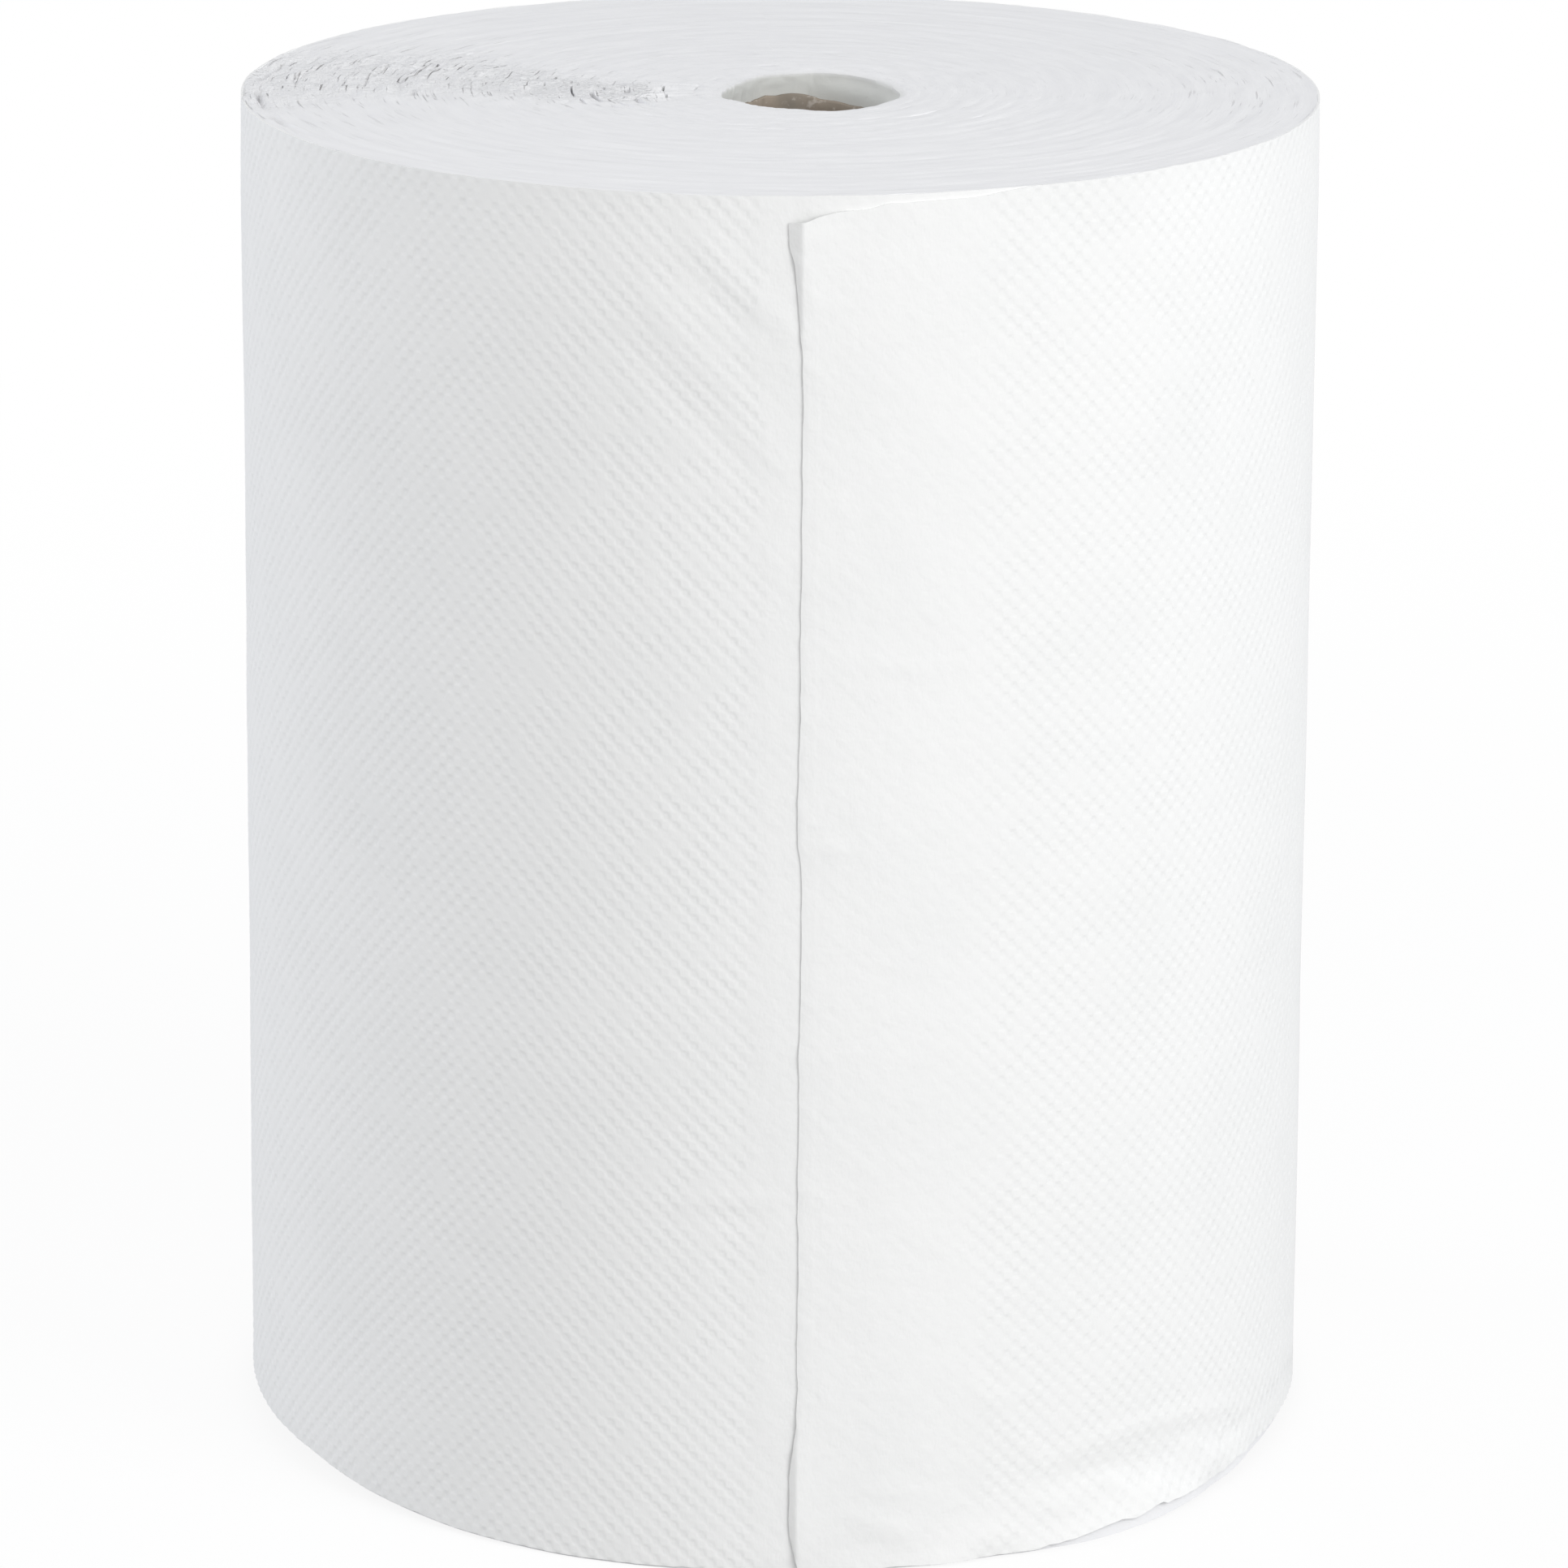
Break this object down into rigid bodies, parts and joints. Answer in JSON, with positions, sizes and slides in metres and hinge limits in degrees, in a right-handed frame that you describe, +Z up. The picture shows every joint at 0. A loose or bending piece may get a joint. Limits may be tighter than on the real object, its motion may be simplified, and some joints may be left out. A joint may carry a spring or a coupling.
{
  "type": "paper towel roll",
  "caption": "Large roll of white embossed paper towel wound on a cardboard core, standing on its end with its free edge at the front.",
  "frame": {"origin": "on the core's axis, at the foot of the roll, in the plane that it stands on", "axes": "+Z up along the core's axis; -Y to the front, where the paper's free edge is; +X to the right"},
  "size_m": [0.1996, 0.1998, 0.254],
  "materials": {
    "towel_paper": "matt, dot-embossed, uncoated white tissue",
    "core_board": "spirally wound grey-brown core board, matt"
  },
  "bodies": {
    "root": {"wound_paper": "towel_paper", "core_tube": "core_board"}
  },
  "joints": []
}
